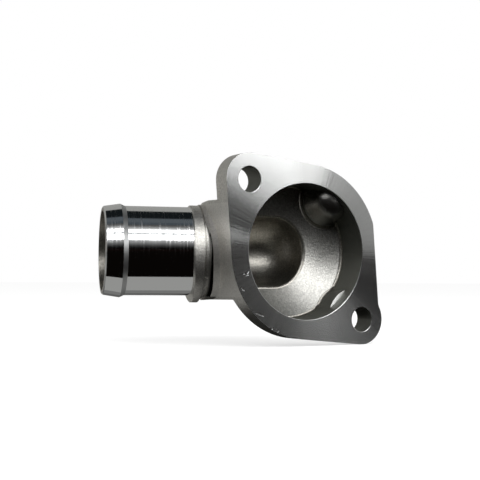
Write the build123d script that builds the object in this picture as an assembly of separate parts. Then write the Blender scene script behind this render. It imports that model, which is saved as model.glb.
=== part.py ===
from build123d import *
import math
import os

# Coolant outlet housing: one aluminium casting with a two-bolt flange, a round chamber,
# a side passage and a turned hose spigot. Lengths are in millimetres, angles in degrees.
# The machined flange face lies in Y = 0 and looks along -Y. The body lies behind it, toward +Y,
# +Z is up and the spigot points to the left. Depth means distance behind the flange face.

# Flange
flange_thickness = 8.7
rim_radius = 31.3
lobe_radius = 9.2
side_flat_depth = 1.15
side_flat_blend = 4.0
back_edge_round = 1.6

# Bolt holes, on a circle about the chamber's axis
bolt_circle_dia = 68.9
bolt_angle = 45.5
bolt_hole_dia = 9.0
bolt_seat_dia = 17.2

# Chamber
chamber_dia = 48.7
chamber_depth = 13.0
chamber_wall = 3.8
floor_wall = 4.0
floor_chamfer = 0.9
chamber_back_round = 3.0

# Walls that stand in the chamber around the two bolt seats
seat_wall = 2.9
seat_roof = 3.7

# Domed wall in the upper right of the chamber, and the recess behind it
dome_angle = 51.4
dome_reach = 25.5
dome_foot_dia = 20.4
dome_top_dia = 11.4
dome_below_face = 2.1
dome_top_round = 7.0
recess_wall = 4.4

# Passage to the spigot, tapered so that its core draws out
spigot_tilt = 17.5
spigot_depth = 16.5
passage_start = 6.0
passage_end_radius = 12.4
passage_mouth_radius = 14.2
trough_rim_round = 1.2

# Neck and its shoulder, measured along the spigot's axis
neck_wall = 3.8
neck_radius = 17.7
neck_end = 30.6
shoulder_radius = 17.0
shoulder_end = 31.9

# Cast collar, a little lower than the spigot that is turned through it
collar_gap = 0.5
collar_radius = 17.6
collar_drop = 0.95
collar_end = 36.1
collar_lip = 1.1
groove_radius = 16.3

# Turned spigot
spigot_dia = 32.0
bead_start = 58.8
bead_crest = 60.5
bead_dia = 33.5
tip_dia = 31.6
tip_end = 66.6
tip_chamfer = 0.4

chamber_radius = chamber_dia / 2
spigot_radius = spigot_dia / 2
tilt = math.radians(spigot_tilt)
spigot_frame = Plane(
    origin=(0, spigot_depth, 0),
    x_dir=(0, 0, 1),
    z_dir=(-math.cos(tilt), math.sin(tilt), 0),
)


def polar(radius, angle):
    """Point on the flange face at this radius and angle from the chamber's axis."""
    return radius * math.cos(math.radians(angle)), radius * math.sin(math.radians(angle))


bolt_points = [polar(bolt_circle_dia / 2, angle) for angle in (180 - bolt_angle, -bolt_angle)]
dome_point = polar(dome_reach, dome_angle)
passage_point = (-passage_start * math.cos(tilt), 0)
passage_point_depth = spigot_depth + passage_start * math.sin(tilt)
body_back = passage_point_depth + neck_radius + tip_end


def slab(sketch, near, far):
    """Solid between two depths, from a sketch drawn on the flange face."""
    return Pos(0, near, 0) * extrude(Plane.XZ * sketch, amount=near - far)


def disc(radius, near, far, point=(0, 0)):
    """Round solid between two depths, with its axis square to the flange face."""
    return slab(Pos(*point) * Circle(radius), near, far)


def turned(points):
    """Solid turned about the spigot's axis, from (distance along the axis, radius) points."""
    profile = make_face(Polyline([(radius, along) for along, radius in points], close=True))
    return spigot_frame * revolve(Plane.XZ * profile, Axis.Z)


def turned_bar(start, end, radius, end_radius=None):
    """Round bar or taper on the spigot's axis."""
    return turned([(start, 0), (end, 0), (end, end_radius or radius), (start, radius)])


def flange_outline():
    """Round rim and two bolt lobes joined by tangents, with a flat on the right-hand side."""
    lobes = [Pos(*point) * Circle(lobe_radius) for point in bolt_points]
    edges = Circle(rim_radius).edges()
    for lobe in lobes:
        edges += lobe.edges()
    outline = make_hull(edges)
    spread = math.degrees(math.acos((rim_radius - lobe_radius) / (bolt_circle_dia / 2)))
    beyond = Pos(rim_radius - side_flat_depth, 0) * Rectangle(
        rim_radius, 4 * rim_radius, align=(Align.MIN, Align.CENTER)
    )
    outline = outline - Rot(0, 0, spread - bolt_angle) * beyond + lobes[1]
    flat = outline.edges().filter_by(GeomType.LINE).sort_by(Axis.X)[-1]
    return fillet(flat.vertices(), side_flat_blend)


def flange():
    plate = slab(flange_outline(), 0, flange_thickness)
    return fillet(plate.faces().sort_by(Axis.Y)[-1].edges(), back_edge_round)


def chamber_shell():
    back = chamber_depth + floor_wall
    shell = disc(chamber_radius + chamber_wall, flange_thickness / 2, back)
    return fillet(shell.faces().sort_by(Axis.Y)[-1].edges(), chamber_back_round)


def neck():
    """Tapered barrel around the passage, with a round end and flat cheeks forward to the flange."""
    end_radius = passage_end_radius + neck_wall
    barrel = turned_bar(passage_start, neck_end, end_radius, neck_radius)
    barrel += spigot_frame * Pos(0, 0, passage_start) * Sphere(end_radius)
    sides = make_face(Polyline([
        (end_radius, passage_start), (neck_radius, neck_end),
        (-neck_radius, neck_end), (-end_radius, passage_start),
    ], close=True))
    cheeks = spigot_frame * extrude(Plane.XZ * sides, amount=body_back)
    cheeks += disc(end_radius, flange_thickness / 2, passage_point_depth, passage_point)
    return barrel + (cheeks & slab(flange_outline(), flange_thickness / 2, body_back))


def collar():
    """Cast ring with a turned, dished front, and the shoulder and groove behind it."""
    start = shoulder_end + collar_gap
    ring = Pos(0, 0, -collar_drop) * turned_bar(start, collar_end + collar_lip, collar_radius)
    rim = collar_radius + collar_drop
    dish = [(collar_end, spigot_radius), (collar_end + collar_lip, rim),
            (bead_start, rim), (bead_start, spigot_radius)]
    shoulder = turned_bar(neck_end - neck_wall, shoulder_end, shoulder_radius)
    return ring - turned(dish) + shoulder + turned_bar(neck_end, collar_end, groove_radius)


def spigot():
    """Turned tube with its hose bead and a tapered tip."""
    tube = turned_bar(neck_end, bead_start, spigot_radius)
    bead = turned_bar(bead_start, bead_crest, spigot_radius, bead_dia / 2)
    tip = turned_bar(bead_crest, tip_end, bead_dia / 2, tip_dia / 2)
    tip = chamfer(tip.edges().filter_by(GeomType.CIRCLE).sort_by(Axis.X)[0], tip_chamfer)
    return tube + bead + tip


def dome():
    """Tapered wall with a rounded top that stands on the chamber floor."""
    height = chamber_depth - dome_below_face
    cone = Cone(dome_foot_dia / 2, dome_top_dia / 2, height, align=(Align.CENTER, Align.CENTER, Align.MIN))
    cone = fillet(cone.edges().sort_by(Axis.Z)[-1], dome_top_round)
    return Pos(dome_point[0], chamber_depth, dome_point[1]) * Rot(90, 0, 0) * cone


def chamber_space():
    """Hollow of the chamber, less the walls that stand in it, with its floor bevelled all around."""
    space = disc(chamber_radius, 0, chamber_depth) - dome()
    for point in bolt_points:
        roof = flange_thickness - seat_roof
        space -= disc(bolt_seat_dia / 2 + seat_wall, roof, chamber_depth, point)
    return chamfer(space.faces().sort_by(Axis.Y)[-1].edges(), floor_chamfer)


def trough_outline(half_width):
    """Outline of the trough on the chamber floor: a round end and two straight sides."""
    sides = Rectangle(chamber_dia, 2 * half_width, align=(Align.MAX, Align.CENTER))
    return Pos(*passage_point) * (Circle(half_width) + sides)


def trough_rim():
    """Flare that rounds the rim of the trough, turned at the round end and drawn out along the sides."""
    outer = passage_end_radius + trough_rim_round
    foot = chamber_depth + trough_rim_round
    lines = Polyline((passage_end_radius, foot), (0, foot), (0, chamber_depth), (outer, chamber_depth))
    half = make_face(lines + CenterArc((outer, foot), trough_rim_round, -90, -90))
    side = extrude(Rot(0, -90, 0) * half, amount=chamber_dia, dir=(-1, 0, 0))
    return Pos(passage_point[0], 0, 0) * (revolve(half, Axis.Y) + side + mirror(side, Plane.XY))


def passage_space():
    """Hollow of the passage, with a round end, opened up to the chamber floor as a straight trough."""
    space = turned_bar(passage_start, tip_end, passage_end_radius, passage_mouth_radius)
    space += spigot_frame * Pos(0, 0, passage_start) * Sphere(passage_end_radius)
    ahead = Box(2 * passage_end_radius, body_back, chamber_dia, align=(Align.CENTER, Align.MAX, Align.MIN))
    trough = slab(trough_outline(passage_end_radius), chamber_depth, passage_point_depth)
    trough += spigot_frame * Pos(0, 0, passage_start) * ahead
    within = disc(chamber_radius - floor_chamfer, chamber_depth, body_back)
    return space + (within & (trough + trough_rim()))


def outlet_housing():
    body = flange() + chamber_shell() + neck() + collar() + spigot()
    for point in bolt_points:
        body -= disc(bolt_seat_dia / 2, flange_thickness, body_back, point)
        body -= disc(bolt_hole_dia / 2, 0, flange_thickness, point)
    body -= disc(dome_foot_dia / 2 - recess_wall, flange_thickness, body_back, dome_point)
    return body - (chamber_space() + passage_space())


os.makedirs("parts", exist_ok=True)
housing = outlet_housing()
export_step(housing, "parts/outlet_housing.step")
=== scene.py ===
import math
import bpy
import bmesh
from mathutils import Matrix, Vector


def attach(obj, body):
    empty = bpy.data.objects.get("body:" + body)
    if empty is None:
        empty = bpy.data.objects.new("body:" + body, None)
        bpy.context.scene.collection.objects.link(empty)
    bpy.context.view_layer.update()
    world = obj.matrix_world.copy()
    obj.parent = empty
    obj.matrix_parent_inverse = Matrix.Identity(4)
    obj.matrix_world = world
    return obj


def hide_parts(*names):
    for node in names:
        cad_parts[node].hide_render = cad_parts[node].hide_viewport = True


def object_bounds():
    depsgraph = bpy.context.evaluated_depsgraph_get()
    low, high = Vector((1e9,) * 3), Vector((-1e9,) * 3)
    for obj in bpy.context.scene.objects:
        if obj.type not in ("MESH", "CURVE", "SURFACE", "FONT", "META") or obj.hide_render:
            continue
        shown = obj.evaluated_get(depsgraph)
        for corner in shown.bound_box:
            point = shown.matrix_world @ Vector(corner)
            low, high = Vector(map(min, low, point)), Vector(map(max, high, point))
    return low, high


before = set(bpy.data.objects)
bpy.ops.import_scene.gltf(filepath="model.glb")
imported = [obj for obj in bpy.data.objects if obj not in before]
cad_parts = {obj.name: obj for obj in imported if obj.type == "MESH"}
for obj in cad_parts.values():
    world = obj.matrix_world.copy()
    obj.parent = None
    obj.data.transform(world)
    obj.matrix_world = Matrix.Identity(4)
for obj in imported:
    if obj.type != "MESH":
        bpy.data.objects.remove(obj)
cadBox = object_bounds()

# Thermostat housing: an aluminium casting with a milled flange, a bored chamber and a turned hose spigot.
# The milled face lies in y = 0 and looks along -y, z is up, and the spigot points to the left.
mm = 0.001
up = Vector((0, 0, 1))


def linear(hexColour):  # an sRGB hex value as the linear colour that the sockets take
    parts = [int(hexColour[i:i + 2], 16) / 255 for i in (1, 3, 5)]
    return [p / 12.92 if p <= 0.04045 else ((p + 0.055) / 1.055) ** 2.4 for p in parts] + [1]


# Sockets go by name or number: a Mix node has 0 for the share, 2 and 3 for numbers, 4 and 5 for vectors,
# and 6 and 7 for colours
def node(tree, kind, links=None, values=None, **settings):  # one node with its settings, values and links
    made = tree.nodes.new(kind)
    for name, value in settings.items():
        setattr(made, name, value)
    for name, value in (values or {}).items():
        made.inputs[name].default_value = value
    for name, source in (links or {}).items():
        tree.links.new(source, made.inputs[name])
    return made


def newMaterial(name):
    material = bpy.data.materials.new(name)
    material.use_nodes = True
    material.node_tree.nodes.clear()
    return material, material.node_tree


def newMesh(name, shape):
    mesh = bpy.data.meshes.new(name)
    shape.to_mesh(mesh)
    shape.free()
    return mesh


def newObject(name, data):
    made = bpy.data.objects.new(name, data)
    bpy.context.scene.collection.objects.link(made)
    return made


def standing(place, *axes):  # the matrix of something at this place, with its own x, y and z along these axes
    return Matrix.Translation(place) @ Matrix(axes).transposed().to_4x4()


# Spigot: its axis starts behind the flange on the chamber's axis and leans back by the tilt.
# Lengths along it are measured from that start.
spigot = {
    "tilt": 17.5,  # degrees
    "depth": 16.5 * mm,
    "turnedFrom": 36.1 * mm,
    "turnedRadius": (15.0 * mm, 17.2 * mm),  # what the lathe cut lies between these
    "colour": "#e9eaea",
    "roughness": (0.07, 0.36),  # of a bright ring and of a dull one
    "rubbed": (-6 * mm, 4 * mm),  # the dull rings fade in between these heights
    "ringNoise": (0.45, 0.75),  # noise that leaves a ring bright, and noise that makes it dull
    "ringSpacing": 0.6 * mm,  # the real feed of about 0.1 mm is too fine to show, so it is drawn coarser
    "ringLength": 12 * mm,
    "ringHeight": 0.0015 * mm,
    "anisotropy": 0.7,
    "beadBack": (58.8 * mm, 60.5 * mm),
    "beadColour": "#b4b5b5",
    "beadRoughness": 0.4,
    "collarFront": (36.0 * mm, 37.4 * mm),
    "collarFoot": 15.9 * mm,  # its radius there
    "collarEase": (0.9 * mm, -0.032, 3.0),  # at mid height, and how it changes with height and its square
}
tilt = math.radians(spigot["tilt"])
spigotWay = Vector((-math.cos(tilt), math.sin(tilt), 0))
spigotStart = Vector((0, spigot["depth"], 0))
front = up.cross(spigotWay)


def turnedAluminium():  # bright from the lathe: sharp mirror bands along the tube, frayed by its fine rings
    material, tree = newMaterial("turnedAluminium")
    point = node(tree, "ShaderNodeTexCoord").outputs["Object"]
    along = node(tree, "ShaderNodeVectorMath", {0: point}, {1: spigotWay}, operation="DOT_PRODUCT")
    stretched = up * spigot["ringSpacing"] / spigot["ringLength"]
    around = node(tree, "ShaderNodeVectorMath", {0: point}, {1: stretched}, operation="DOT_PRODUCT")
    flat = node(tree, "ShaderNodeCombineXYZ", {0: along.outputs["Value"], 1: around.outputs["Value"]})
    rings = node(tree, "ShaderNodeTexNoise", {"Vector": flat.outputs[0]},
                 {"Scale": 1 / spigot["ringSpacing"], "Detail": 3, "Roughness": 0.6}, noise_dimensions="2D")
    height = node(tree, "ShaderNodeVectorMath", {0: point}, {1: up}, operation="DOT_PRODUCT")
    dullest = node(tree, "ShaderNodeMapRange", {"Value": height.outputs["Value"]},
                   {"From Min": spigot["rubbed"][0], "From Max": spigot["rubbed"][1],
                    "To Min": spigot["roughness"][0], "To Max": spigot["roughness"][1]})
    blur = node(tree, "ShaderNodeMapRange", {"Value": rings.outputs["Fac"], "To Max": dullest.outputs[0]},
                {"From Min": spigot["ringNoise"][0], "From Max": spigot["ringNoise"][1],
                 "To Min": spigot["roughness"][0]})
    bump = node(tree, "ShaderNodeBump", {"Height": rings.outputs["Fac"]}, {"Distance": spigot["ringHeight"]})
    tangent = node(tree, "ShaderNodeCombineXYZ", None, {0: spigotWay.x, 1: spigotWay.y})
    shader = node(tree, "ShaderNodeBsdfPrincipled",
                  {"Roughness": blur.outputs[0], "Normal": bump.outputs[0], "Tangent": tangent.outputs[0]},
                  {"Base Color": linear(spigot["colour"]), "Metallic": 1,
                   "Anisotropic": spigot["anisotropy"]})
    node(tree, "ShaderNodeOutputMaterial", {"Surface": shader.outputs[0]})
    return material


def roughTurnedAluminium():  # the slope behind the bead, where the tool dragged: an even dull grey
    material, tree = newMaterial("roughTurnedAluminium")
    shader = node(tree, "ShaderNodeBsdfPrincipled", None,
                  {"Base Color": linear(spigot["beadColour"]), "Metallic": 1,
                   "Roughness": spigot["beadRoughness"]})
    node(tree, "ShaderNodeOutputMaterial", {"Surface": shader.outputs[0]})
    return material


# Flange face and the small shelf over a bolt seat, both milled with the same round tool marks
face = {
    "shelfDepth": 5.0 * mm,
    "shelfNormal": (-0.03, -0.993, 0.11),
    "roughness": 0.165,
    "anisotropy": 1,
    "markSpacing": 0.5 * mm,  # the real feed of about 0.2 mm is too fine to show, so it is drawn coarser
    "markHeight": 0.002 * mm,
    "streakRadius": 30 * mm,
    "streakWidth": 0.6 * mm,  # at that radius
    "streakSwing": 0.2,  # the most that a streak turns the marks, in radians
    "streakColours": ("#d6d7d6", "#e2e3e2"),
    "streakNoise": (0.3, 0.7),  # noise that gives the first colour, and noise that gives the second
    "edgeBreak": 0.18 * mm,
    "edgeColour": "#dcdddc",
    "edgeRoughness": 0.22,
    "nickRoughness": 0.6,
    "nickDepth": 0.1 * mm,
    "nickEdge": (1.1, 0.6),  # outer and inner end of a nick's soft edge, as a share of its size
    "nicks": [  # (x, z, length, width) in millimetres and turn in degrees
        (-24.6, -7.6, 1.5, 0.5, 50),
        (-24.9, -8.6, 1.3, 0.5, 20),
        (-26.2, -8.2, 0.8, 0.4, 0),
        (-26.7, -13.4, 1.6, 0.45, -42),
        (-20.0, -22.2, 3.6, 0.3, -20),
        (-14.8, -27.2, 0.8, 0.8, 0),
        (-12.3, -28.1, 0.8, 0.8, 0),
    ],
}


def nickMask(tree, point):  # 1 inside the knocks that the face took, each a short ellipse
    mask = None
    for x, z, length, width, turn in face["nicks"]:
        local = node(tree, "ShaderNodeMapping", {"Vector": point},
                     {"Location": (x * mm, 0, z * mm), "Rotation": (0, -math.radians(turn), 0),
                      "Scale": (length / 2 * mm, 1, width / 2 * mm)}, vector_type="TEXTURE")
        reach = node(tree, "ShaderNodeVectorMath", {0: local.outputs[0]}, operation="LENGTH")
        nick = node(tree, "ShaderNodeMapRange", {"Value": reach.outputs["Value"]},
                    {"From Min": face["nickEdge"][0], "From Max": face["nickEdge"][1]})
        mask = node(tree, "ShaderNodeMath", {0: mask.outputs[0], 1: nick.outputs[0]},
                    operation="MAXIMUM") if mask else nick
    return mask.outputs[0]


def milledAluminium():  # faced round the chamber: light gathers in wedges across the fine round marks
    material, tree = newMaterial("milledAluminium")
    point = node(tree, "ShaderNodeTexCoord").outputs["Object"]
    flat = node(tree, "ShaderNodeVectorMath", {0: point}, {1: (1, 0, 1)}, operation="MULTIPLY")
    radius = node(tree, "ShaderNodeVectorMath", {0: flat.outputs[0]}, operation="LENGTH")
    outward = node(tree, "ShaderNodeVectorMath", {0: flat.outputs[0]}, operation="NORMALIZE")
    marks = node(tree, "ShaderNodeTexNoise", {"W": radius.outputs["Value"]},
                 {"Scale": 1 / face["markSpacing"], "Detail": 3}, noise_dimensions="1D")
    nicks = nickMask(tree, point)
    dents = node(tree, "ShaderNodeMath", {0: nicks}, {1: -face["nickDepth"]}, operation="MULTIPLY")
    height = node(tree, "ShaderNodeMath", {0: marks.outputs["Fac"], 2: dents.outputs[0]},
                  {1: face["markHeight"]}, operation="MULTIPLY_ADD")
    bump = node(tree, "ShaderNodeBump", {"Height": height.outputs[0]}, {"Distance": 1})
    blur = node(tree, "ShaderNodeMapRange", {"Value": nicks},
                {"To Min": face["roughness"], "To Max": face["nickRoughness"]})
    streaks = node(tree, "ShaderNodeTexNoise", {"Vector": outward.outputs[0]},
                   {"Scale": face["streakRadius"] / face["streakWidth"], "Detail": 2}, noise_dimensions="3D")
    share = node(tree, "ShaderNodeMapRange", {"Value": streaks.outputs["Fac"]},
                 {"From Min": face["streakNoise"][0], "From Max": face["streakNoise"][1]})
    dull, bright = face["streakColours"]
    colour = node(tree, "ShaderNodeMix", {0: share.outputs[0]}, {6: linear(dull), 7: linear(bright)},
                  data_type="RGBA")
    swing = node(tree, "ShaderNodeMapRange", {"Value": streaks.outputs["Fac"]},
                 {"To Min": -face["streakSwing"], "To Max": face["streakSwing"]})
    around = node(tree, "ShaderNodeVectorMath", {0: outward.outputs[0]}, {1: (0, 1, 0)},
                  operation="CROSS_PRODUCT")
    swung = node(tree, "ShaderNodeVectorMath", {0: around.outputs[0], "Scale": swing.outputs[0]},
                 operation="SCALE")
    lay = node(tree, "ShaderNodeVectorMath", {0: outward.outputs[0], 1: swung.outputs[0]}, operation="ADD")
    shader = node(tree, "ShaderNodeBsdfPrincipled",
                  {"Base Color": colour.outputs[2], "Roughness": blur.outputs[0], "Normal": bump.outputs[0],
                   "Tangent": lay.outputs[0]},
                  {"Metallic": 1, "Anisotropic": face["anisotropy"]})
    node(tree, "ShaderNodeOutputMaterial", {"Surface": shader.outputs[0]})
    return material


def deburredAluminium():  # scraped by a blunt tool: a thin edge that shines on its own, without any lay
    material, tree = newMaterial("deburredAluminium")
    shader = node(tree, "ShaderNodeBsdfPrincipled", None,
                  {"Base Color": linear(face["edgeColour"]), "Metallic": 1,
                   "Roughness": face["edgeRoughness"]})
    node(tree, "ShaderNodeOutputMaterial", {"Surface": shader.outputs[0]})
    return material


# Chamber wall, the walls round the bolt seats and the bolt holes
bore = {
    "radius": 24.35 * mm,
    "depth": 12.1 * mm,
    "boltHoles": [(-24.15 * mm, 24.57 * mm), (24.15 * mm, -24.57 * mm)],
    "boltHoleRadius": 4.5 * mm,
    "seatWall": 11.5 * mm,
    "colour": "#787973",
    "roughness": 0.5,
    "anisotropy": 0.3,
    "ringSpacing": 0.9 * mm,  # the real feed of about 0.3 mm is too fine to show, so it is drawn coarser
    "ringHeight": 0.006 * mm,
}


def boredAluminium():  # cut by a boring bar and left dull: dark satin wall with rings round it
    material, tree = newMaterial("boredAluminium")
    point = node(tree, "ShaderNodeTexCoord").outputs["Object"]
    depth = node(tree, "ShaderNodeSeparateXYZ", {0: point})
    rings = node(tree, "ShaderNodeTexNoise", {"W": depth.outputs["Y"]},
                 {"Scale": 1 / bore["ringSpacing"], "Detail": 3}, noise_dimensions="1D")
    bump = node(tree, "ShaderNodeBump", {"Height": rings.outputs["Fac"]}, {"Distance": bore["ringHeight"]})
    tangent = node(tree, "ShaderNodeCombineXYZ", None, {1: 1})
    shader = node(tree, "ShaderNodeBsdfPrincipled",
                  {"Normal": bump.outputs[0], "Tangent": tangent.outputs[0]},
                  {"Base Color": linear(bore["colour"]), "Metallic": 1, "Roughness": bore["roughness"],
                   "Anisotropic": bore["anisotropy"]})
    node(tree, "ShaderNodeOutputMaterial", {"Surface": shader.outputs[0]})
    return material


# Skin of the casting: rough outside, finer in the chamber, smoothest on the dome. The real grain of about
# 0.3 mm is too fine to show, so it is drawn coarser.
skin = {
    # The colours differ by place for the light: the chamber's are darker than the outside's, painted shade,
    # and the dome's paler than the rest of the chamber, painted light.
    "finishes": {  # two colours, roughness, and width and height of the grain
        "outside": (("#c6c4bf", "#e4e2dc"), 0.43, 0.6 * mm, 0.12 * mm),
        "floor": (("#a3a29e", "#c1c0bb"), 0.33, 0.53 * mm, 0.085 * mm),
        "inside": (("#9c9992", "#bbb8b0"), 0.33, 0.53 * mm, 0.085 * mm),
        "dome": (("#b4b3b0", "#cfcdc9"), 0.24, 0.53 * mm, 0.085 * mm),
    },
    "grainNoise": (0.35, 0.65),  # noise that gives the first colour, and noise that gives the second
    "domeMiddle": (15.91 * mm, 19.93 * mm),
    "domeFoot": 10.4 * mm,
    "floorDepth": 13 * mm,
    "floorRadius": 23.4 * mm,
    "dish": 7 * mm,  # shading only, at the floor's rim
    "dishMiddle": (1 * mm, 0, 2.2 * mm),
}

# Side wall of the flange beside the neck, straight above the bend and round below it. It runs on to its reach
# and ends at the collar, by shading only: a turned normal, painted light that makes the wall paler, and
# painted shade in the crease at the collar.
neck = {
    "wallReach": 33.5 * mm,
    "wallHeight": 16.3 * mm,
    "wallBend": -2.5 * mm,
    "wallWay": (-0.9968, 0, -0.0802),
    # painted light: a paler colour mixed into the wall, by this share
    "wallPaintedLight": "#f4f1ec",
    "wallPaintedLightShare": 0.4,
    "sideFrom": 20 * mm,
    "collarFrom": 32.4 * mm,
    # painted shade in the crease: its width, fade, slant with height, and colour
    "creaseWidth": 1.1 * mm,
    "creaseFade": 0.7 * mm,
    "creaseSlant": 0.045,
    "creasePaintedShade": "#0c0b0b",
}


def neckWallLightAndShade(tree, point, colour):  # the skin's normal, turned on that wall, and its colour, with painted light on the wall and painted shade in its crease
    offset = node(tree, "ShaderNodeVectorMath", {0: point}, {1: spigotStart}, operation="SUBTRACT").outputs[0]
    ways = {"height": up, "ahead": front, "along": spigotWay, "left": (-1, 0, 0), "wall": neck["wallWay"]}
    far = {}  # how far the point lies along each way
    for name, way in ways.items():
        far[name] = node(tree, "ShaderNodeVectorMath", {0: offset}, {1: way},
                         operation="DOT_PRODUCT").outputs["Value"]
    far["level"] = node(tree, "ShaderNodeMath", {0: far["height"]}, operation="ABSOLUTE").outputs[0]
    tests = [("ahead", "GREATER_THAN", 0), ("level", "LESS_THAN", neck["wallHeight"]),
             ("along", "LESS_THAN", neck["collarFrom"]), ("left", "GREATER_THAN", neck["sideFrom"])]
    beside = None  # 1 where all the tests hold
    for name, test, limit in tests:
        holds = node(tree, "ShaderNodeMath", {0: far[name]}, {1: limit}, operation=test).outputs[0]
        beside = node(tree, "ShaderNodeMath", {0: beside, 1: holds},
                      operation="MULTIPLY").outputs[0] if beside else holds

    flat = node(tree, "ShaderNodeVectorMath", {0: offset}, {1: (1, 0, 1)}, operation="MULTIPLY")
    radius = node(tree, "ShaderNodeVectorMath", {0: flat.outputs[0]}, operation="LENGTH")
    outward = node(tree, "ShaderNodeVectorMath", {0: flat.outputs[0]}, operation="NORMALIZE")
    straight = node(tree, "ShaderNodeMath", {0: far["height"]}, {1: neck["wallBend"]},
                    operation="GREATER_THAN").outputs[0]
    reach = node(tree, "ShaderNodeMix", {0: straight, 2: radius.outputs["Value"], 3: far["wall"]}).outputs[0]
    wallNormal = node(tree, "ShaderNodeMix", {0: straight, 4: outward.outputs[0]}, {5: neck["wallWay"]},
                      data_type="VECTOR").outputs[1]
    within = node(tree, "ShaderNodeMath", {0: reach}, {1: neck["wallReach"]}, operation="LESS_THAN")
    wall = node(tree, "ShaderNodeMath", {0: within.outputs[0], 1: beside}, operation="MULTIPLY").outputs[0]

    # painted shade: the colour darkens in the crease, fading out beyond the wall's reach
    creaseEnd = node(tree, "ShaderNodeMath", {0: far["height"]},
                     {1: -neck["creaseSlant"], 2: neck["wallReach"] + neck["creaseWidth"]},
                     operation="MULTIPLY_ADD")
    toEnd = node(tree, "ShaderNodeMath", {0: creaseEnd.outputs[0], 1: reach}, operation="SUBTRACT")
    faded = node(tree, "ShaderNodeMath", {0: toEnd.outputs[0]}, {1: 1 / neck["creaseFade"]},
                 operation="MULTIPLY", use_clamp=True)
    dark = node(tree, "ShaderNodeMath", {0: faded.outputs[0], 1: beside}, operation="MULTIPLY")
    paintedShade = node(tree, "ShaderNodeMath", {0: dark.outputs[0], 1: wall}, operation="SUBTRACT")

    shape = node(tree, "ShaderNodeNewGeometry")
    normal = node(tree, "ShaderNodeMix", {0: wall, 4: shape.outputs["Normal"], 5: wallNormal},
                  data_type="VECTOR")
    # painted light: the wall's colour is made paler
    share = node(tree, "ShaderNodeMath", {0: wall}, {1: neck["wallPaintedLightShare"]}, operation="MULTIPLY")
    lit = node(tree, "ShaderNodeMix", {0: share.outputs[0], 6: colour}, {7: linear(neck["wallPaintedLight"])},
               data_type="RGBA")
    shaded = node(tree, "ShaderNodeMix", {0: paintedShade.outputs[0], 6: lit.outputs[2]},
                  {7: linear(neck["creasePaintedShade"])}, data_type="RGBA")
    return normal.outputs[1], shaded.outputs[2]


def dished(tree, point, height):  # the floor shades as if it rose from its middle towards its rim
    offset = node(tree, "ShaderNodeVectorMath", {0: point}, {1: skin["dishMiddle"]}, operation="SUBTRACT")
    flat = node(tree, "ShaderNodeVectorMath", {0: offset.outputs[0]},
                {1: [1 / skin["floorRadius"], 0, 1 / skin["floorRadius"]]}, operation="MULTIPLY")
    squared = node(tree, "ShaderNodeVectorMath", {0: flat.outputs[0], 1: flat.outputs[0]},
                   operation="DOT_PRODUCT")
    return node(tree, "ShaderNodeMath", {0: squared.outputs["Value"], 2: height}, {1: skin["dish"]},
                operation="MULTIPLY_ADD").outputs[0]


def castAluminium(part):  # blasted skin of the casting: grey with a fine sparkle
    (dark, pale), roughness, grainWidth, grainHeight = skin["finishes"][part]
    material, tree = newMaterial("castAluminium" + part.capitalize())
    point = node(tree, "ShaderNodeTexCoord").outputs["Object"]
    grain = node(tree, "ShaderNodeTexNoise", {"Vector": point},
                 {"Scale": 1 / grainWidth, "Detail": 2, "Roughness": 0.6})
    spots = node(tree, "ShaderNodeMapRange", {"Value": grain.outputs["Fac"]},
                 {"From Min": skin["grainNoise"][0], "From Max": skin["grainNoise"][1]})
    colour = node(tree, "ShaderNodeMix", {0: spots.outputs[0]}, {6: linear(dark), 7: linear(pale)},
                  data_type="RGBA").outputs[2]
    height = node(tree, "ShaderNodeMath", {0: grain.outputs["Fac"]}, {1: grainHeight},
                  operation="MULTIPLY").outputs[0]
    if part == "floor":
        height = dished(tree, point, height)
    links = {"Height": height}
    # the outside skin takes the neck wall's painted light and the crease's painted shade
    if part == "outside":
        links["Normal"], colour = neckWallLightAndShade(tree, point, colour)
    bump = node(tree, "ShaderNodeBump", links, {"Distance": 1})
    shader = node(tree, "ShaderNodeBsdfPrincipled", {"Base Color": colour, "Normal": bump.outputs[0]},
                  {"Metallic": 1, "Roughness": roughness})
    node(tree, "ShaderNodeOutputMaterial", {"Surface": shader.outputs[0]})
    return material


finishes = {  # in the order of the mesh's materials
    "outside": castAluminium("outside"),
    "milled": milledAluminium(),
    "bored": boredAluminium(),
    "turned": turnedAluminium(),
    "floor": castAluminium("floor"),
    "inside": castAluminium("inside"),
    "edge": deburredAluminium(),
    "beadBack": roughTurnedAluminium(),
    "dome": castAluminium("dome"),
}
finishNumber = {name: number for number, name in enumerate(finishes)}
print("finishes made,", len(finishes))

# How near to a surface a face has to lie, and how much its normal has to point forwards, or back along the
# spigot behind the bead, to be taken for part of it
nearness = {"plane": 0.01 * mm, "hole": 0.05 * mm, "wall": 0.2 * mm, "bevel": 0.05 * mm}
facing = {"plane": 0.99, "bevel": (0.3, 0.95), "beadBack": 0.2}


def fromSpigot(point):  # how far along the spigot's axis a point is, and the vector out to it from the axis
    along = (point - spigotStart).dot(spigotWay)
    return along, point - spigotStart - along * spigotWay


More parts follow.
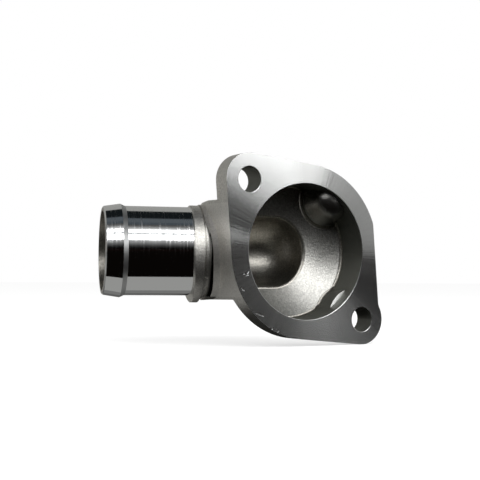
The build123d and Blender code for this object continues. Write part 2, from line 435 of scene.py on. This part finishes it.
def finishOf(polygon):  # by where the face lies, with all other cast skin taken for outside at first
    middle = polygon.calc_center_median()
    if middle.y < nearness["plane"]:
        return "milled"
    if -polygon.normal.y > facing["plane"]:
        if abs(middle.y - face["shelfDepth"]) < nearness["plane"]:
            return "milled"
        if abs(middle.y - skin["floorDepth"]) < nearness["plane"]:
            return "floor"
    fromHoles = [math.hypot(middle.x - x, middle.z - z) for x, z in bore["boltHoles"]]
    if min(fromHoles) < bore["boltHoleRadius"] + nearness["hole"]:
        return "bored"
    fromWalls = [math.hypot(middle.x, middle.z) - bore["radius"]]
    fromWalls += [distance - bore["seatWall"] for distance in fromHoles]
    if middle.y < bore["depth"] and min(abs(distance) for distance in fromWalls) < nearness["wall"]:
        return "bored"
    along, out = fromSpigot(middle)
    start, end = spigot["beadBack"]
    if start < along < end and -polygon.normal.dot(spigotWay) > facing["beadBack"]:
        return "beadBack"
    inner, outer = spigot["turnedRadius"]
    facesOut = polygon.normal.dot(out) > -0.1 * mm  # a hair below zero, so that the rim of the mouth counts
    if along > spigot["turnedFrom"] and inner < out.length < outer and facesOut:
        return "turned"
    return "outside"


def mergedCopy(source):  # the CAD mesh without its doubles, and a layer that keeps its normals
    shape = bmesh.new()
    shape.from_mesh(source.data)
    shading = shape.loops.layers.float_vector.new("shading")
    corners = source.data.corner_normals
    for polygon in shape.faces:
        for loop in polygon.loops:
            loop[shading] = corners[loop.index].vector
    bmesh.ops.remove_doubles(shape, verts=shape.verts, dist=0.001 * mm)
    return shape, shading


def sortSkin(shape):  # cast skin that reaches the floor without crossing a machined face is inside
    inside = [polygon for polygon in shape.faces if polygon.material_index == finishNumber["floor"]]
    while inside:
        for edge in inside.pop().edges:
            for polygon in edge.link_faces:
                if polygon.material_index == finishNumber["outside"]:
                    polygon.material_index = finishNumber["inside"]
                    inside.append(polygon)
    x, z = skin["domeMiddle"]
    for polygon in shape.faces:
        middle = polygon.calc_center_median()
        onDome = math.hypot(middle.x - x, middle.z - z) < skin["domeFoot"] and middle.y < bore["depth"]
        if onDome and polygon.material_index == finishNumber["inside"]:
            polygon.material_index = finishNumber["dome"]


def leanShelf(shape, shading):  # the shelf shines as if it leaned a little upwards
    for polygon in shape.faces:
        deep = polygon.calc_center_median().y > face["shelfDepth"] / 2
        if deep and polygon.material_index == finishNumber["milled"]:
            for loop in polygon.loops:
                loop[shading] = face["shelfNormal"]


def roundFloorBevel(shape, shading):  # the bevel round the floor shades as a round corner
    top = bore["depth"] - nearness["bevel"]
    foot = skin["floorDepth"] + nearness["bevel"]
    least, most = facing["bevel"]
    for polygon in shape.faces:
        depths = [vert.co.y for vert in polygon.verts]
        if top < min(depths) and max(depths) < foot and least < -polygon.normal.y < most:
            wall = Vector((polygon.normal.x, 0, polygon.normal.z)).normalized()
            for loop in polygon.loops:
                onFloor = loop.vert.co.y > skin["floorDepth"] - nearness["bevel"]
                loop[shading] = (0, -1, 0) if onFloor else wall


def easeCollar(shape):  # the collar's front stands a little nearer to the neck, most at its foot
    start, end = spigot["collarFront"]
    level, lean, bow = spigot["collarEase"]
    for vert in shape.verts:
        along, out = fromSpigot(vert.co)
        if start < along < end and out.length > spigot["collarFoot"]:
            vert.co -= spigotWay * (level + lean * vert.co.z + bow * vert.co.z ** 2)


def breakMouths(shape, shading):  # the sharp edges where the bores open in the milled face
    meeting = {finishNumber["milled"], finishNumber["bored"]}
    mouths = [edge for edge in shape.edges
              if {polygon.material_index for polygon in edge.link_faces} == meeting
              and all(vert.co.y < nearness["plane"] for vert in edge.verts)]
    broken = bmesh.ops.bevel(shape, geom=mouths, offset=face["edgeBreak"], segments=2, profile=0.5,
                             affect="EDGES", material=-1)["faces"]
    shape.normal_update()
    for polygon in broken:
        polygon.material_index = finishNumber["edge"]
        for loop in polygon.loops:
            loop[shading] = polygon.normal


def buildCasting():
    shape, shading = mergedCopy(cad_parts["outlet_housing"])
    for polygon in shape.faces:
        polygon.material_index = finishNumber[finishOf(polygon)]
        polygon.smooth = True
    sortSkin(shape)
    leanShelf(shape, shading)
    roundFloorBevel(shape, shading)
    easeCollar(shape)
    breakMouths(shape, shading)
    mesh = newMesh("housing", shape)
    mesh.normals_split_custom_set([Vector(item.vector) for item in mesh.attributes["shading"].data])
    mesh.attributes.remove(mesh.attributes["shading"])
    for material in finishes.values():
        mesh.materials.append(material)
    piece = newObject("housing", mesh)
    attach(piece, "root")
    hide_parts("outlet_housing")
    return piece


housing = buildCasting()
print("casting finished,", len(housing.data.polygons), "faces")


# Camera, where the photograph was taken from: a long lens at the height of the housing, from its front left
view = {
    "place": (-0.19725, -0.290811, -0.009615),
    "right": (0.864036, -0.503396, 0.005806),
    "down": (0.024484, 0.0305, -0.999235),
    "lens": 73.77,
    "sensor": 36,
    "nearest": 0.01,
}
eye = bpy.data.cameras.new("photoCamera")
eye.sensor_width = view["sensor"]
eye.lens = view["lens"]
eye.clip_start = view["nearest"]
camera = newObject("photoCamera", eye)
right, down = Vector(view["right"]), Vector(view["down"])
camera.matrix_world = standing(view["place"], right, -down, -right.cross(down))
bpy.context.scene.camera = camera
print("camera placed")


# Studio: softboxes in front of the housing, and cards that only the metal sees, wrapped round the spigot's
# line. Distances are in metres and angles in degrees.
studio = {
    "cardDistance": 0.9,
    "cardHalfLength": 2.2,
    "cardStep": 4,
    "cards": {  # (from, to) above the horizon in front of the spigot, and colour
        "frontDark": (-3, 4, "#0d0706"),
        "frontGap": (27, 53.5, "#cdcfd1"),
        "overFront": (68, 75, "#474e54"),
        "overhead": (75, 89, "#555b60"),
        "overBack": (89, 120, "#15191b"),
        "backPale": (120, 183, "#9f9f9c"),
    },
    "fades": {  # (from, to) and the greys there
        "lowFade": (4, 27, 0, 0.55),
        "highFade": (68, 53.5, 0.07, 0.85),
    },
    "fadeSteps": 8,
    "fadeCurve": 2.2,
    "ends": {"leftEnd": (1, "#8b8885"), "rightEnd": (-1, "#595959")},  # way along the spigot, and colour
    "endDistance": 2.134,
    "endHalfSize": 0.945,
    "sideCard": {
        "from": 32,  # round to the right
        "to": 85,
        "heights": (2.3, 40),
        "fall": 0.1,  # of its edges, for each degree round past the next value
        "levelAt": 33,
        "distance": 0.85,
        "steps": 16,
        "colour": "#b2b2b1",
    },
    "softboxes": {  # (from, to) upwards, turn to the right, (left, right) across, and brightness
        "lowSoftbox": ((27, 40), 0, (-1.5, 0.88), 3.35),
        "highSoftbox": ((46.2, 53.5), 0, (-1.5, 0.88), 3.35),
        "sideSoftbox": ((12.5, 25), 45, (-0.165, 0.155), 3.5),
        "featherSoftbox": ((12.5, 25), 61.5, (-0.095, 0.1), 0.7),
        "wedgeSoftbox": ((3.8, 5.4), 33.5, (-0.055, 0.055), 3.6),
    },
    "softboxDistance": 0.8,
    # The grey and dim sheets behind the housing are a painted reflection of its shadow on the floor, and the
    # dark sheet to their right is painted shade for the collar's underside.
    "sheets": {  # (from, to) in front of the spigot and (from, to) along it, and colour
        "darkSheet": ((0.021, 2), (-2.2, 2.2), "#080605"),
        "paleSheet": ((-0.006, 0.021), (0.0305, 2.2), "#9d9d9b"),
        "greySheet": ((-0.02, -0.006), (0.0305, 2.2), "#7a7a79"),
        "dimSheet": ((-0.08, -0.02), (0.0305, 2.2), "#626261"),
        "farSheet": ((-2, -0.08), (0.0305, 2.2), "#b3b1ae"),
        "rightSheet": ((-2, 0.021), (-2.2, 0.0305), "#222221"),
    },
    "sheetLift": 0.1 * mm,
    "floorColour": "#c8c8c8",
    "floorLift": 0.62,
    "floorHalfSize": 4,
    "worldLight": 0.6,
}
floorHeight = cadBox[0][2]


def stageCard(name, shape, colour):  # lights and darkens the metal without being in the picture
    mesh = newMesh(name, shape)
    material, tree = newMaterial(name)
    glow = node(tree, "ShaderNodeEmission", None, {"Color": colour})
    node(tree, "ShaderNodeOutputMaterial", {"Surface": glow.outputs[0]})
    mesh.materials.append(material)
    card = newObject(name, mesh)
    card.visible_camera = card.visible_diffuse = card.visible_shadow = card.visible_transmission = False


def spunLine(ends, middle, axis, angle, steps):  # a straight line swept round an axis
    shape = bmesh.new()
    verts = [shape.verts.new(end) for end in ends]
    line = shape.edges.new(verts)
    bmesh.ops.spin(shape, geom=[*verts, line], cent=middle, axis=axis, angle=math.radians(angle),
                   steps=steps, use_duplicate=False)
    return shape


def curvedCard(name, start, end, colour):
    outward = front * math.cos(math.radians(start)) + up * math.sin(math.radians(start))
    middle = spigotStart + outward * studio["cardDistance"]
    ends = [middle + spigotWay * way * studio["cardHalfLength"] for way in (-1, 1)]
    steps = max(2, round((end - start) / studio["cardStep"]))
    stageCard(name, spunLine(ends, spigotStart, front.cross(up), end - start, steps), colour)


for name, (start, end, colour) in studio["cards"].items():
    curvedCard(name, start, end, linear(colour))
for name, (start, end, darkest, palest) in studio["fades"].items():  # rows of narrow cards
    rise = (end - start) / studio["fadeSteps"]
    for step in range(studio["fadeSteps"]):
        share = ((step + 0.5) / studio["fadeSteps"]) ** studio["fadeCurve"]
        grey = darkest + (palest - darkest) * share
        curvedCard(f"{name}{step + 1}", start + rise * step, start + rise * (step + 1), (grey, grey, grey, 1))

sideCard = studio["sideCard"]
azimuth = math.radians(sideCard["from"])
ends = []
for height in sideCard["heights"]:
    toward = Vector((math.sin(azimuth), -math.cos(azimuth), math.tan(math.radians(height))))
    ends.append(sideCard["distance"] * toward)
shape = spunLine(ends, (0, 0, 0), up, sideCard["to"] - sideCard["from"], sideCard["steps"])
for vert in shape.verts:
    past = math.degrees(math.atan2(vert.co.x, -vert.co.y)) - sideCard["levelAt"]
    vert.co.z -= sideCard["distance"] * math.radians(sideCard["fall"] * past)
stageCard("sideCard", shape, linear(sideCard["colour"]))

for name, (way, colour) in studio["ends"].items():
    shape = bmesh.new()
    bmesh.ops.create_grid(shape, x_segments=1, y_segments=1, size=studio["endHalfSize"])
    place = spigotStart + spigotWay * way * studio["endDistance"]
    bmesh.ops.transform(shape, verts=shape.verts, matrix=standing(place, up, front, spigotWay))
    stageCard(name, shape, linear(colour))

for name, ((start, end), reach, colour) in studio["sheets"].items():
    shape = bmesh.new()
    corners = [spigotStart + front * start + spigotWay * along for along in reach]
    ends = [shape.verts.new((corner.x, corner.y, floorHeight + studio["sheetLift"])) for corner in corners]
    line = shape.edges.new(ends)
    pulled = bmesh.ops.extrude_edge_only(shape, edges=[line])["geom"]
    bmesh.ops.translate(shape, verts=[item for item in pulled if isinstance(item, bmesh.types.BMVert)],
                        vec=front * (end - start))
    stageCard(name, shape, linear(colour))
print("cards hung")

for name, (upwards, turn, sides, brightness) in studio["softboxes"].items():
    angle = math.radians(sum(upwards) / 2)
    lamp = bpy.data.lights.new(name, "AREA")
    lamp.shape = "RECTANGLE"
    lamp.size = sides[1] - sides[0]
    lamp.size_y = 2 * studio["softboxDistance"] * math.tan(math.radians(upwards[1] - upwards[0]) / 2)
    lamp.energy = brightness * math.pi * lamp.size * lamp.size_y
    ahead = Matrix.Rotation(math.radians(turn), 3, "Z") @ front
    toward = ahead * math.cos(angle) + up * math.sin(angle)
    across = up.cross(ahead)
    place = studio["softboxDistance"] * toward + sum(sides) / 2 * across
    newObject(name, lamp).matrix_world = standing(place, across, toward.cross(across), toward)
print("softboxes lit")


def seenOrMirrored(tree):  # 1 where the camera, a mirror or a glass looks, 0 for light that falls on things
    path = node(tree, "ShaderNodeLightPath").outputs
    looked = node(tree, "ShaderNodeMath", {0: path["Is Camera Ray"], 1: path["Is Glossy Ray"]},
                  operation="MAXIMUM")
    return node(tree, "ShaderNodeMath", {0: looked.outputs[0], 1: path["Is Transmission Ray"]},
                operation="MAXIMUM").outputs[0]


# Floor that keeps the shadow, and a white backdrop
shape = bmesh.new()
bmesh.ops.create_grid(shape, x_segments=1, y_segments=1, size=studio["floorHalfSize"])
bmesh.ops.translate(shape, verts=shape.verts, vec=(0, 0, floorHeight))
mesh = newMesh("floor", shape)
material, tree = newMaterial("paleFloor")
matt = node(tree, "ShaderNodeBsdfDiffuse", None, {"Color": linear(studio["floorColour"])})
lift = node(tree, "ShaderNodeEmission", {"Strength": seenOrMirrored(tree)},
            {"Color": [studio["floorLift"]] * 3 + [1]})
both = node(tree, "ShaderNodeAddShader", {0: matt.outputs[0], 1: lift.outputs[0]})
node(tree, "ShaderNodeOutputMaterial", {"Surface": both.outputs[0]})
mesh.materials.append(material)
newObject("floor", mesh)

world = bpy.data.worlds.new("whiteBackdrop")
bpy.context.scene.world = world
world.use_nodes = True
tree = world.node_tree
tree.nodes.clear()
strength = node(tree, "ShaderNodeMapRange", {"Value": seenOrMirrored(tree)},
                {"To Min": studio["worldLight"], "To Max": 1})
backdrop = node(tree, "ShaderNodeBackground", {"Strength": strength.outputs[0]}, {"Color": (1, 1, 1, 1)})
node(tree, "ShaderNodeOutputWorld", {"Surface": backdrop.outputs[0]})
bpy.context.scene.view_settings.view_transform = "Standard"
print("studio ready")
